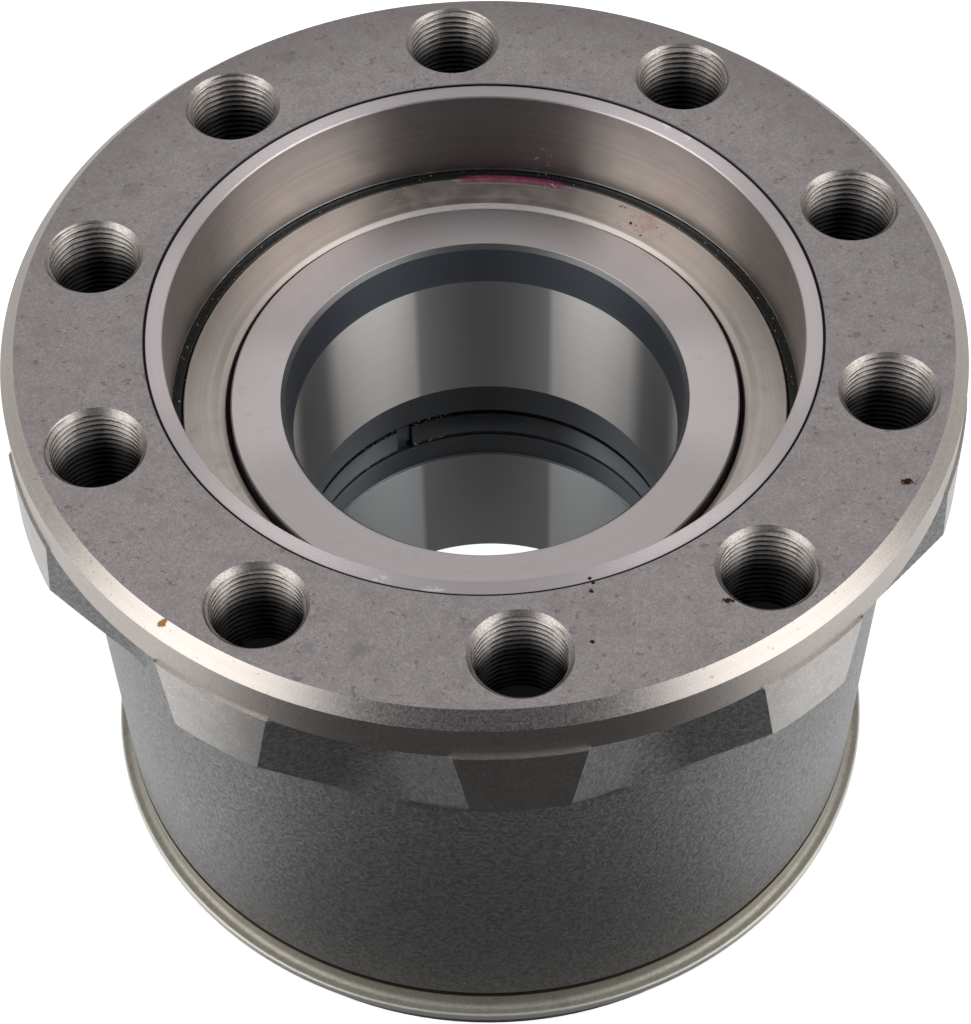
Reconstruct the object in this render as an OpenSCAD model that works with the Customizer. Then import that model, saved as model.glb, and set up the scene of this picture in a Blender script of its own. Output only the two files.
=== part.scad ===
// Truck wheel hub with its double-row tapered roller bearing, millimetres.
// +Z is outboard, towards the wheel. The hub stands on its inboard end, at z = 0, and its axis is Z.
// Heights named _depth are measured down from the flange face.

/* [Flange] */
// Diameter of the turned rim of the flange
flange_d = 199; // [196:0.5:204]
// Height of the turned rim
rim_h = 11.4; // [8:0.2:14]
// Chamfer around the flange face
flange_chamfer = 3; // [1:0.5:5]
// Diameter of the step in the flange face, around the recess
step_d = 139.6; // [136:0.2:144]
// Depth of that step
step_h = 0.3; // [0.1:0.1:1]

/* [Bolt holes] */
// Number of threaded holes, each with a boss
hole_count = 10; // [8:1:10]
// Diameter of the circle that the holes lie on
hole_circle_d = 168; // [165:0.5:171]
// Crest diameter of the M20 x 1.5 thread
thread_crest_d = 18.4; // [16:0.1:19]
// Diameter of the countersunk mouth of each hole
hole_mouth_d = 20.8; // [19.5:0.1:22]
// Depth of the full hole, above its drill point
hole_depth = 23.5; // [18:0.5:24]

/* [Bosses] */
// How far each boss stands out of the rim
boss_stand = 0.6; // [0.4:0.1:2]
// Width of a boss at the rim
boss_w = 24.2; // [22:0.2:28]
// Depth of the lower edge of a boss's turned face
boss_depth = 29.3; // [27:0.1:33]
// Depth at which a boss has run out into the barrel
boss_foot_depth = 45.5; // [42:0.5:52]
// Angle of a boss's sides from the radius
boss_side_a = 47; // [42:1:50]
// Draft of a boss's sides
boss_draft = 6.1; // [2:0.1:8]
// Turn of the cast bosses from the drilled holes
boss_turn = -0.8; // [-1.5:0.1:1.5]

/* [Barrel] */
// Diameter of the cast barrel at its lower end
barrel_d = 170.5; // [168:0.5:174]
// Draft of the barrel
barrel_draft = 2.3; // [1:0.1:3]
// Depth of the lower end of the cast barrel
barrel_depth = 127; // [125:0.5:130]
// Fillet between the rim and the barrel
rim_fillet = 4; // [1:0.5:6]

/* [Recess and retaining ring] */
// Depth of the recess, down to the ring groove
recess_depth = 22.9; // [20:0.1:25]
// Diameter of the recess above the groove
recess_d = 132.2; // [132:0.1:133]
// Thickness of the retaining ring
snap_t = 3.1; // [2.5:0.1:3.5]
// Height of the groove beyond the ring
snap_play = 0.2; // [0.1:0.05:0.5]
// Inner diameter of the retaining ring
snap_bore_d = 127.8; // [127.6:0.1:128.6]
// Depth of the groove in the recess wall
snap_groove_h = 2.5; // [1.5:0.1:3]
// Opening between the retaining ring's ends
snap_gap = 12; // [6:1:20]

/* [Bearing] */
// Bore of the two inner rings, the seat of the axle spindle
bore_d = 82; // [80:0.5:83]
// Outer diameter of the bearing
bearing_d = 132; // [131.6:0.1:132]
// Length of the outer ring
outer_ring_l = 102.4; // [101:0.2:104]
// How far each inner ring stands proud of the outer ring
cone_proud = 3.8; // [3.4:0.1:4.2]
// Length of the outboard inner ring
outboard_cone_l = 59.4; // [56:0.2:62]
// Number of rollers in each row
roller_count = 22; // [20:1:22]
// Diameter of a roller at its middle
roller_d = 11; // [10.4:0.1:11.2]
// Length of a roller
roller_l = 25; // [22:0.5:26]
// Diameter of the circle through the middles of the rollers
pitch_d = 106.4; // [106:0.1:107]
// Angle between a roller's axis and the hub's axis
roller_a = 13.5; // [12:0.25:14]
// Distance of a row's middle from the end of the outer ring
row_inset = 17.3; // [17:0.1:18.5]
// Gap between a roller and each raceway
roller_play = 0.1; // [0.05:0.01:0.15]
// Gap between a roller and the ribs and the cage
pocket_play = 0.25; // [0.2:0.05:0.35]
// Diameter of the inner rings' large rib
rib_d = 107.4; // [107:0.1:108]
// Thickness of the cages
cage_t = 2.4; // [1.8:0.1:2.8]

/* [Bores of the inner rings] */
// Diameter of the outboard mouth
mouth_d = 86.4; // [85.6:0.1:87.5]
// Length of the outboard lead-in
lead_l = 8.6; // [6:0.2:12]
// Widest diameter of the lead-in
lead_d = 84.6; // [84:0.1:85.4]
// Diameter of the inboard mouth
shoulder_mouth_d = 90.4; // [87:0.2:92]
// Height of the inboard chamfer, clear of the spindle's fillet
shoulder_h = 4.7; // [3:0.1:6]
// Length of the relief above the joint of the inner rings
outboard_relief_l = 13.1; // [11:0.1:16]
// Length of the relief below the joint
inboard_relief_l = 10.9; // [9:0.1:16]
// Diameter of the relief
relief_d = 83; // [82.6:0.1:83.2]

/* [Clip ring] */
// Length of the clip ring that joins the inner rings
clip_l = 8.2; // [7:0.1:9]
// Thickness of the clip ring's band
clip_t = 0.9; // [0.7:0.1:0.9]
// Height of the clip ring's hooked ends
clip_hook_h = 0.9; // [0.5:0.1:1]
// Length of each hook
clip_hook_l = 1.4; // [1:0.1:1.6]
// Gap between the clip ring and the land between its hooks
clip_play = 0.15; // [0.1:0.05:0.2]
// Gap between the clip ring and the end of its groove
clip_end_play = 0.4; // [0.2:0.1:0.8]
// Split in the clip ring
clip_gap = 4; // [2:0.5:8]

/* [Seals] */
// Outer diameter of the seal cases
seal_d = 127.4; // [127:0.1:127.5]
// Inner diameter of the seal cases
seal_bore_d = 112.6; // [112:0.1:113.4]
// How far a seal case stands proud of the outer ring
seal_proud = 3.4; // [3:0.1:3.6]
// Thickness of the seal cases
seal_t = 1.5; // [1.2:0.1:1.6]
// Fall of the seal case's face towards its bore
seal_fall = 0.4; // [0:0.1:0.6]
// Length of the seal case's spigot in the outer ring
seal_spigot_l = 3.4; // [2.8:0.1:3.6]
// Running gap between a seal lip and the rib
lip_play = 0.1; // [0.05:0.01:0.15]

/* [Inboard end] */
// Diameter of the turned seat of the deflector ring
deflector_seat_d = 165.8; // [164:0.2:166.4]
// Height of that seat
deflector_seat_h = 7.2; // [7:0.1:9]
// Outer diameter of the deflector ring's lip
lip_d = 175.9; // [173:0.1:178]
// Outer diameter of the deflector ring's collar
collar_d = 170.6; // [169.6:0.1:171]
// Depth of the top of the lip, below the end of the barrel
lip_depth = 4.4; // [4:0.1:5]
// Thickness of the lip
lip_t = 2.4; // [1.6:0.1:2.4]
// Fillet between the collar and the lip
lip_fillet = 1.6; // [0.8:0.1:2]
// Outer diameter of the tone ring
tone_d = 165.3; // [162:0.1:165.6]
// Height of the tone ring
tone_h = 10.3; // [9:0.1:12]
// Thickness of the tone ring's sheet
tone_t = 1.8; // [1.2:0.1:2.2]
// Radial width of the tone ring
tone_w = 9.25; // [8:0.25:10]
// Height of the hub's spigot inside the tone ring
spigot_h = 7.8; // [6:0.1:8]
// Number of windows in the tone ring
window_count = 100; // [80:10:100]
// Width of a window
window_w = 2.6; // [2:0.1:2.8]
// Length of a window
window_l = 4.4; // [3:0.1:4.4]

/* [Hidden] */
$fn = 96;
ROW_ENDS = ["outboard", "inboard"];
function two_digits(n) = n < 10 ? str("0", n) : str(n);
function roller_name(end, n) = str(end, "_roller_", two_digits(n));
ROLLERS = [for (end = ROW_ENDS, n = [1:roller_count]) roller_name(end, n)];

// Heights
hub_h = barrel_depth + deflector_seat_h + tone_h;
rim_z = hub_h - rim_h;
barrel_z = hub_h - barrel_depth;
hub_end_z = tone_h;
spigot_z = hub_end_z - spigot_h;
spigot_r = tone_d/2 - tone_w;
groove_top_z = hub_h - recess_depth;
outer_top_z = groove_top_z - snap_t - snap_play;
outer_low_z = outer_top_z - outer_ring_l;
bearing_mid_z = (outer_top_z + outer_low_z)/2;
joint_z = outer_top_z + cone_proud - outboard_cone_l;
inboard_cone_l = outer_ring_l + 2*cone_proud - outboard_cone_l;

// Hub casting
flange_r = flange_d/2;
boss_r = flange_r + boss_stand;
first_hole_a = 90;
hole_angles = [for (k = [0:hole_count - 1]) first_hole_a + k*360/hole_count];
drill_point_h = thread_crest_d/2/tan(59);
function barrel_r(z) = barrel_d/2 + (z - barrel_z)*tan(barrel_draft);
barrel_edge = 1;
// Centre of the fillet between rim and barrel, and where the fillet meets the barrel
fillet_mid = [
    barrel_r(rim_z) + rim_fillet*(1/cos(barrel_draft) - tan(barrel_draft)),
    rim_z - rim_fillet
];
fillet_foot = fillet_mid + rim_fillet*[-cos(barrel_draft), sin(barrel_draft)];
wall_r = (bearing_d/2 + barrel_d/2)/2;
boss_low_z = hub_h - boss_depth;
boss_foot_z = hub_h - boss_foot_depth;
// The cone under the bosses goes on into the wall of the barrel, down to this height
boss_end_z = boss_low_z - (boss_r - wall_r)*(boss_low_z - boss_foot_z)/(boss_r - barrel_r(boss_foot_z));
recess_edge = 0.35;
snap_groove_r = recess_d/2 + snap_groove_h;
clear_gap = 0.3;

// Rollers: both raceways and every roller point at one apex on the axis
apex_l = pitch_d/2/sin(roller_a);
taper_a = atan(roller_d/2/apex_l);
cone_a = roller_a - taper_a;
cup_a = roller_a + taper_a;
near_l = apex_l - roller_l/2;
far_l = apex_l + roller_l/2;
apex_z = outer_top_z - row_inset - apex_l*cos(roller_a);
roller_edge = 0.6;
// Point at a distance l along a roller's axis and t square to it, away from the hub's axis
function row_point(l, t) = [l*sin(roller_a) + t*cos(roller_a), apex_z + l*cos(roller_a) - t*sin(roller_a)];
function cup_r(z) = (z - apex_z)*tan(cup_a);
function roller_r(l) = l*tan(taper_a);

// Raceway corners of the inner ring: where the rollers' ends meet it
rib_foot = row_point(far_l + pocket_play, -roller_r(far_l + pocket_play));
rib_z = rib_foot[1] - (rib_d/2 - rib_foot[0])*tan(roller_a);
small_foot = row_point(near_l - pocket_play, -roller_r(near_l - pocket_play));
small_rib_h = 1.1;
small_rib_r = small_foot[0] + small_rib_h*cos(roller_a);
small_rib_z = small_foot[1] - small_rib_h*sin(roller_a);

// Outer ring
ring_edge = 1;
seal_seat_z = outer_top_z - seal_spigot_l - 0.1;
seal_seat_r = cup_r(seal_seat_z) + 0.4;
cup_end_z = row_point(near_l, roller_r(near_l))[1] - 1.5;
cup_land_r = cup_r(cup_end_z) - 0.6;

// Clip ring: its hooks lie in a groove in each inner ring
clip_low_z = joint_z - clip_l/2;
clip_top_z = joint_z + clip_l/2;
clip_bore_r = relief_d/2 + 0.1;
clip_land_r = clip_bore_r + clip_t + clip_play;
clip_groove_r = clip_land_r + clip_hook_h;
clip_groove_h = clip_l/2 + clip_end_play;
clip_land_h = clip_l/2 - clip_hook_l - clip_play;
relief_edge = 0.5;

// Seals
seal_r = seal_d/2;
seal_bore_r = seal_bore_d/2;
seal_top_z = outer_top_z + seal_proud;
seal_roll_r = seal_t;
seal_inner_z = seal_top_z - seal_fall - seal_roll_r;
seal_hem_z = seal_top_z - seal_fall - 3.4;
lip_tip_r = rib_d/2 + lip_play;
lip_root_l = 1.5;

IRON = [0.47, 0.45, 0.44];
STEEL = [0.72, 0.70, 0.69];
DARK_STEEL = [0.2, 0.2, 0.21];
RUBBER = [0.12, 0.11, 0.11];
PLATED = [0.55, 0.52, 0.44];
CAGE = [0.55, 0.45, 0.28];

// Turns children over, about the middle of the outer ring, for the inboard row and seal
module at_end(end) {
    if (end == "outboard") children();
    else translate([0, 0, 2*bearing_mid_z]) mirror([0, 0, 1]) children();
}

// Block outside one side of a boss: the side leans in towards the foot of the boss
module boss_side_cut() {
    reach = 2*boss_r;
    translate([boss_r, boss_w/2, rim_z])
        rotate([0, 0, -boss_side_a])
            rotate([-boss_draft, 0, 0])
                translate([-reach/2, 0, -reach/2])
                    cube([reach, reach/2, reach]);
}

module boss_wedge() {
    difference() {
        translate([wall_r, -boss_r/2, boss_end_z]) cube([boss_r - wall_r + 1, boss_r, rim_z - boss_end_z]);
        boss_side_cut();
        mirror([0, 1, 0]) boss_side_cut();
    }
}

// Ring that the bosses are cut from: a turned face above a cone that runs out into the barrel
module boss_ring() {
    rotate_extrude() polygon([[wall_r, rim_z], [boss_r, rim_z], [boss_r, boss_low_z], [wall_r, boss_end_z]]);
}

module bosses() {
    intersection() {
        boss_ring();
        for (a = hole_angles) rotate([0, 0, a + boss_turn]) boss_wedge();
    }
}

// Blind threaded hole with its drill point and countersunk mouth
module bolt_hole() {
    crest_r = thread_crest_d/2;
    mouth_r = hole_mouth_d/2;
    translate([hole_circle_d/2, 0, hub_h]) rotate_extrude() polygon([
        [0, -hole_depth - drill_point_h], [crest_r, -hole_depth], [crest_r, crest_r - mouth_r],
        [mouth_r + 1, 1], [0, 1]
    ]);
}

module hub_section() {
    end_bore_r = seal_r + clear_gap;
    polygon([
        [recess_d/2 + recess_edge, hub_h - step_h], [step_d/2, hub_h - step_h], [step_d/2, hub_h],
        [flange_r - flange_chamfer, hub_h], [flange_r, hub_h - flange_chamfer],
        [flange_r, rim_z], [fillet_mid[0], rim_z], fillet_mid, fillet_foot,
        [barrel_r(barrel_z + barrel_edge), barrel_z + barrel_edge], [barrel_d/2 - barrel_edge, barrel_z],
        [deflector_seat_d/2, barrel_z], [deflector_seat_d/2, hub_end_z],
        [spigot_r, hub_end_z], [spigot_r, spigot_z + 1], [spigot_r - 1, spigot_z],
        [end_bore_r + 1, spigot_z], [end_bore_r, spigot_z + 1],
        [end_bore_r, outer_low_z], [bearing_d/2, outer_low_z], [bearing_d/2, outer_top_z],
        [snap_groove_r, outer_top_z], [snap_groove_r, groove_top_z],
        [recess_d/2, groove_top_z], [recess_d/2, hub_h - step_h - recess_edge]
    ]);
}

module hub_casting() {
    color(IRON) difference() {
        union() {
            rotate_extrude() difference() {
                hub_section();
                translate(fillet_mid) circle(r = rim_fillet);
            }
            bosses();
        }
        for (a = hole_angles) rotate([0, 0, a]) bolt_hole();
    }
}

module retaining_ring() {
    bore_r = snap_bore_d/2;
    outer_r = snap_groove_r - 0.2;
    edge = 0.4;
    gap_a = 270;
    color(DARK_STEEL) difference() {
        translate([0, 0, outer_top_z]) rotate_extrude() polygon([
            [bore_r, 0], [outer_r, 0], [outer_r, snap_t], [bore_r + edge, snap_t], [bore_r, snap_t - edge]
        ]);
        rotate([0, 0, gap_a]) translate([bore_r/2, -snap_gap/2, outer_top_z - 1])
            cube([outer_r, snap_gap, snap_t + 2]);
    }
}

module bearing_outer_ring() {
    r = bearing_d/2;
    low_seat_z = 2*bearing_mid_z - seal_seat_z;
    low_cup_end_z = 2*bearing_mid_z - cup_end_z;
    color(STEEL) rotate_extrude() polygon([
        [seal_seat_r, outer_top_z], [r - ring_edge, outer_top_z], [r, outer_top_z - ring_edge],
        [r, outer_low_z + ring_edge], [r - ring_edge, outer_low_z], [seal_seat_r, outer_low_z],
        [seal_seat_r, low_seat_z], [cup_r(seal_seat_z), low_seat_z],
        [cup_r(cup_end_z), low_cup_end_z], [cup_land_r, low_cup_end_z],
        [cup_land_r, cup_end_z], [cup_r(cup_end_z), cup_end_z],
        [cup_r(seal_seat_z), seal_seat_z], [seal_seat_r, seal_seat_z]
    ]);
}

// Inner ring of the outboard row: its length, its relief's length, and its bore's mouth from the seat outwards
module inner_ring(l, relief_l, mouth) {
    face_z = outer_top_z + cone_proud;
    end_z = face_z - l;
    bore_r = bore_d/2;
    edge = 0.3;
    color(STEEL) rotate_extrude() polygon(concat([
        [small_rib_r, end_z], [clip_land_r, end_z], [clip_land_r, end_z + clip_land_h],
        [clip_groove_r, end_z + clip_land_h], [clip_groove_r, end_z + clip_groove_h],
        [relief_d/2, end_z + clip_groove_h], [relief_d/2, end_z + relief_l], [bore_r, end_z + relief_l + relief_edge]
    ], [for (p = mouth) [p[0], face_z - p[1]]], [
        [rib_d/2 - edge, face_z], [rib_d/2, face_z - edge], [rib_d/2, rib_z], rib_foot,
        small_foot, [small_rib_r, small_rib_z]
    ]));
}

module outboard_inner_ring() {
    seat_edge = 1.4;
    inner_ring(outboard_cone_l, outboard_relief_l, [
        [bore_d/2, lead_l + seat_edge], [bore_d/2 + 0.25, lead_l], [lead_d/2, 1.1], [mouth_d/2, 0]
    ]);
}

module inboard_inner_ring() {
    at_end("inboard")
        inner_ring(inboard_cone_l, inboard_relief_l, [[bore_d/2, shoulder_h], [shoulder_mouth_d/2, 0]]);
}

module clip_ring() {
    band_r = clip_bore_r + clip_t;
    hook_r = band_r + clip_hook_h;
    split_a = 113;
    color(DARK_STEEL) difference() {
        rotate_extrude() polygon([
            [clip_bore_r, clip_low_z], [hook_r, clip_low_z], [hook_r, clip_low_z + clip_hook_l],
            [band_r, clip_low_z + clip_hook_l], [band_r, clip_top_z - clip_hook_l],
            [hook_r, clip_top_z - clip_hook_l], [hook_r, clip_top_z], [clip_bore_r, clip_top_z]
        ]);
        rotate([0, 0, split_a]) translate([clip_bore_r/2, -clip_gap/2, clip_low_z - 1])
            cube([clip_groove_r, clip_gap, clip_l + 2]);
    }
}

// Cage: a cone of even thickness with a pocket around each roller
module cage(end) {
    inner_t = 0.4;
    near_rim = 2.6;
    far_rim = 2.4;
    color(CAGE) at_end(end) difference() {
        rotate_extrude() polygon([
            row_point(near_l - near_rim, inner_t), row_point(far_l + far_rim, inner_t),
            row_point(far_l + far_rim, inner_t + cage_t), row_point(near_l - near_rim, inner_t + cage_t)
        ]);
        for (n = [1:roller_count]) in_row(n)
            translate([0, 0, near_l - pocket_play])
                cylinder(
                    h = roller_l + 2*pocket_play,
                    r1 = roller_r(near_l) + pocket_play,
                    r2 = roller_r(far_l) + pocket_play
                );
    }
}

module outboard_cage() { cage("outboard"); }
module inboard_cage() { cage("inboard"); }

// Lays children, drawn along Z from the apex, on the axis of roller n of the outboard row
module in_row(n) {
    translate([0, 0, apex_z]) rotate([0, 0, (n - 1)*360/roller_count]) rotate([0, roller_a, 0]) children();
}

module roller(end, n) {
    near_r = roller_r(near_l) - roller_play;
    far_r = roller_r(far_l) - roller_play;
    color(STEEL) at_end(end) in_row(n) rotate_extrude() polygon([
        [0, near_l], [near_r - roller_edge, near_l], [near_r, near_l + roller_edge],
        [far_r, far_l - roller_edge], [far_r - roller_edge, far_l], [0, far_l]
    ]);
}

// Pressed case: a spigot in the outer ring, a wall, a face and a rolled inner edge
module seal_case(end) {
    case_bore = seal_bore_r + seal_roll_r;
    color(STEEL) at_end(end) rotate_extrude() union() {
        translate([seal_seat_r - seal_t, outer_top_z - seal_spigot_l]) square([seal_t, seal_spigot_l + 0.5]);
        polygon([
            [seal_r - seal_t, outer_top_z], [seal_r, outer_top_z],
            [seal_r, seal_top_z - 0.2], [seal_r - 0.2, seal_top_z], [case_bore, seal_top_z - seal_fall],
            [case_bore, seal_inner_z], [seal_r - seal_t, seal_top_z - seal_t]
        ]);
        translate([case_bore, seal_inner_z]) circle(r = seal_roll_r);
        translate([seal_bore_r, seal_hem_z]) square([seal_t, seal_inner_z - seal_hem_z]);
    }
}

module outboard_seal_case() { seal_case("outboard"); }
module inboard_seal_case() { seal_case("inboard"); }

// Rubber lip, bonded around the case's inner hem, that runs on the rib of the inner ring
module seal_lip(end) {
    top_z = seal_hem_z + 1.4;
    foot_z = seal_hem_z - lip_root_l;
    color(RUBBER) at_end(end) rotate_extrude() polygon([
        [seal_bore_r, top_z], [seal_bore_r, seal_hem_z], [seal_bore_r + seal_t, seal_hem_z],
        [seal_bore_r + seal_t, foot_z], [seal_bore_r - 0.8, foot_z],
        [lip_tip_r, seal_hem_z - 0.4], [lip_tip_r, seal_hem_z + 0.3], [seal_bore_r - 1.1, top_z]
    ]);
}

module outboard_seal_lip() { seal_lip("outboard"); }
module inboard_seal_lip() { seal_lip("inboard"); }

module deflector_ring() {
    seat_r = deflector_seat_d/2;
    collar_r = collar_d/2;
    top_z = barrel_z - lip_depth;
    edge = 0.5;
    color(PLATED) rotate_extrude() difference() {
        polygon([
            [seat_r, barrel_z], [collar_r - edge, barrel_z], [collar_r, barrel_z - edge],
            [collar_r, top_z + lip_fillet], [collar_r + lip_fillet, top_z + lip_fillet],
            [collar_r + lip_fillet, top_z], [lip_d/2 - edge, top_z], [lip_d/2, top_z - edge],
            [lip_d/2, top_z - lip_t + edge], [lip_d/2 - edge, top_z - lip_t], [seat_r, top_z - lip_t]
        ]);
        translate([collar_r + lip_fillet, top_z + lip_fillet]) circle(r = lip_fillet);
    }
}

// Tone ring: a channel of sheet with a row of windows in its floor
module tone_ring() {
    outer_r = tone_d/2;
    inner_r = spigot_r;
    edge = 0.4;
    window_r = outer_r - tone_w/2;
    color(DARK_STEEL) difference() {
        rotate_extrude() polygon([
            [inner_r, 0], [outer_r - edge, 0], [outer_r, edge], [outer_r, tone_h], [outer_r - tone_t, tone_h],
            [outer_r - tone_t, tone_t], [inner_r + tone_t, tone_t], [inner_r + tone_t, tone_h], [inner_r, tone_h]
        ]);
        for (k = [0:window_count - 1]) rotate([0, 0, k*360/window_count])
            translate([window_r - window_l/2, -window_w/2, -1]) cube([window_l, window_w, tone_t + 2]);
    }
}

hub_casting();
retaining_ring();
bearing_outer_ring();
outboard_inner_ring();
inboard_inner_ring();
clip_ring();
outboard_cage();
inboard_cage();
outboard_seal_case();
outboard_seal_lip();
inboard_seal_case();
inboard_seal_lip();
deflector_ring();
tone_ring();
for (end = ROW_ENDS, n = [1:roller_count])
    roller(end, n);
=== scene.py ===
"""Looks of a truck wheel hub with its bearing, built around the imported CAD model. Metres, +Z up."""

import math

import bpy
import numpy as np
from mathutils import Matrix, Vector


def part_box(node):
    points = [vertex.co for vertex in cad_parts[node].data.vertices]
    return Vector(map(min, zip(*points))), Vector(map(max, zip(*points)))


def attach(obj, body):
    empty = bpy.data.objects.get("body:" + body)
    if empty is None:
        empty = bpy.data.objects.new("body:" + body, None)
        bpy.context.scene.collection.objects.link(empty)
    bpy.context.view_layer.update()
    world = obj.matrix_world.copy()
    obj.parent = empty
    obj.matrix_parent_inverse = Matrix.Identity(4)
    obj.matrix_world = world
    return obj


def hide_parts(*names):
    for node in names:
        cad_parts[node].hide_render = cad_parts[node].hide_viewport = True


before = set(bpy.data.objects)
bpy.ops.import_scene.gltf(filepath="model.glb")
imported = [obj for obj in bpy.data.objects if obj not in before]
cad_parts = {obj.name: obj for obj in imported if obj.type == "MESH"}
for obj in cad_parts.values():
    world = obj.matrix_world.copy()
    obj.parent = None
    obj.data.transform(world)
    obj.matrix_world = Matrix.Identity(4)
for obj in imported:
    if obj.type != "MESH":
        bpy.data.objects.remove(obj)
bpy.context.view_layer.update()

MM = 0.001

# Sizes of the CAD model, in millimetres. A depth is measured down from the flange face.

# Hub casting
HUB_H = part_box("hub_casting")[1].z / MM
RIM_R = 99.5
RIM_DEPTH = 11.4
CHAMFER = 3.0
STEP_R = 69.8
STEP_DEPTH = 0.3
RECESS_R = 66.1
RECESS_DEPTH = 22.9
GROOVE_R = 68.6
GROOVE_LOW = 26.2
BEARING_R = 66.0
BEARING_LOW = 128.6
END_BORE_R = 64.0
SPIGOT_R = 73.4
SPIGOT_LOW = 142.0
SEAT_R = 82.9
SEAT_LOW = 134.2
BARREL_R = 85.25
BARREL_LOW = 127.0
BARREL_DRAFT = math.radians(2.3)
RIM_FILLET = 4.0
BEARING_MID = (GROOVE_LOW + BEARING_LOW) / 2
RECESS_EDGE = 0.35

# Threaded holes and bosses
HOLE_COUNT = 10
FIRST_HOLE = math.radians(90)
HOLE_CIRCLE_R = 84.0
CREST_R = 9.2
ROOT_R = 10.0
THREAD_PITCH = 1.5
MOUTH_R = 10.4
HOLE_DEPTH = 23.5
DRILL_POINT = CREST_R / math.tan(math.radians(59))

BOSS_R = 100.1
BOSS_W = 24.2
BOSS_DEPTH = 29.3
BOSS_FOOT = 45.5
BOSS_SIDE = math.radians(47)
BOSS_TILT = math.radians(6.1)
BOSS_TURN = math.radians(-0.8)

# Inner rings, with their raceways and the steps of their bores
RING_FACE = 22.4
RING_END = 81.8
OUTBOARD_L = RING_END - RING_FACE
INBOARD_L = 2 * (BEARING_MID - RING_FACE) - OUTBOARD_L
RIB_R = 53.7
SMALL_RIB_H = 1.1
BORE_R = 41.0
ROLLER_SLOPE = math.radians(13.5)
ROLLER_R = 5.5
ROLLER_L = 25.0
PITCH_R = 53.2
ROW_DEPTH = GROOVE_LOW + 17.3
POCKET_PLAY = 0.25

RING_MOUTH_R = 43.2
RING_MOUTH_H = 1.1
LEAD_R = 42.3
LEAD_L = 8.6
LEAD_STEP = 0.25
LEAD_END = 10.0
SHOULDER_MOUTH_R = 45.2
SHOULDER_H = 4.7
RELIEF_R = 41.5
RELIEF_EDGE = 0.5
OUTBOARD_RELIEF = 13.1
INBOARD_RELIEF = 10.9

# Clip ring and its seat in the inner rings
NOSE_R = 42.65
CLIP_PLAY = 0.15
CLIP_END_PLAY = 0.4
CLIP_R = NOSE_R - CLIP_PLAY
CLIP_T = 0.9
CLIP_HOOK_H = 0.9
CLIP_HOOK_L = 1.4
CLIP_REACH = 4.1
CLIP_GAP = 4.0
CLIP_GAP_ANGLE = math.radians(113)

# Retaining ring
SNAP_BORE_R = 63.9
SNAP_R = GROOVE_R - 0.2
SNAP_TOP = GROOVE_LOW - 3.1
SNAP_CHAMFER = 0.4
SNAP_GAP = 12.0
SNAP_GAP_ANGLE = math.radians(270)

# Seal case. Its rolled edge reaches further in than the CAD model's, as in the photograph.
CASE_R = 63.7
CASE_BORE_R = 56.3
CASE_T = 1.5
CASE_TOP = 22.8
CASE_FALL = 0.4
CASE_BACK = CASE_TOP + CASE_FALL + CASE_T
CASE_SHELF = 25.7
CASE_LOW = 26.6
CASE_SPIGOT_R = 62.6
CASE_SPIGOT_LOW = GROOVE_LOW + 3.4
ROLLED_EDGE_R = 54.8

# Deflector ring
COLLAR_R = 85.3
LIP_R = 87.95
LIP_TOP = BARREL_LOW + 4.4
LIP_LOW = LIP_TOP + 2.4

# Faces around the axis
COLUMNS = 360

# Turn of the photograph's view around the hub's axis
VIEW_TURN = math.radians(-3.99)


# Shapes


def fillet_points(before, corner, after, radius):
    """Points (r, z, normal r, normal z) of an arc that rounds the corner of an outline."""
    a = np.subtract(before, corner)
    b = np.subtract(after, corner)
    length_a = math.hypot(*a)
    length_b = math.hypot(*b)
    a = a / length_a
    b = b / length_b
    way_in = -a
    turn = math.atan2(way_in[0] * b[1] - way_in[1] * b[0], float(np.dot(way_in, b)))
    if abs(turn) < 1e-4:
        return [(*corner, way_in[1], -way_in[0])]
    # An arc takes less than half of each side, so that it never meets the next one
    reach = min(radius * math.tan(abs(turn) / 2), 0.48 * length_a, 0.48 * length_b)
    radius = reach / math.tan(abs(turn) / 2)
    steps = max(2, math.ceil(abs(turn) / math.radians(20 if radius > 0.25 else 40)))
    start = np.asarray(corner) + a * reach
    side = 1 if turn > 0 else -1
    # An outline has its material on its left, so its outward normal is on its right
    outward = np.array([way_in[1], -way_in[0]])
    centre = start - side * outward * radius
    points = []
    for k in range(steps + 1):
        angle = turn * k / steps
        c, s = math.cos(angle), math.sin(angle)
        normal = np.array([c * outward[0] - s * outward[1], s * outward[0] + c * outward[1]])
        p = centre + side * radius * normal
        points.append((p[0], p[1], normal[0], normal[1]))
    return points


def outline_points(corners, closed):
    """Rounds each corner (r, depth, radius) of an outline that has its material on its left."""
    places = [(r, HUB_H - depth) for r, depth, _ in corners]
    radii = [radius for _, _, radius in corners]
    n = len(places)
    points = []
    for k in range(n):
        if not closed and k in (0, n - 1):
            along = np.subtract(places[1], places[0]) if k == 0 else np.subtract(places[-1], places[-2])
            along = along / math.hypot(*along)
            points.append((*places[k], along[1], -along[0]))
        else:
            points.extend(fillet_points(places[k - 1], places[k], places[(k + 1) % n], radii[k]))
    return points


def new_piece(name, places, faces, normals=None, sharp=None):
    """A mesh object, from places in millimetres."""
    mesh = bpy.data.meshes.new(name)
    mesh.from_pydata((np.asarray(places) * MM).tolist(), [], faces)
    mesh.update()
    mesh.shade_smooth()
    if normals is not None:
        mesh.normals_split_custom_set_from_vertices(np.asarray(normals).tolist())
    if sharp is not None:
        mesh.set_sharp_from_angle(angle=sharp)
    piece = bpy.data.objects.new(name, mesh)
    bpy.context.scene.collection.objects.link(piece)
    return piece


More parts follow.
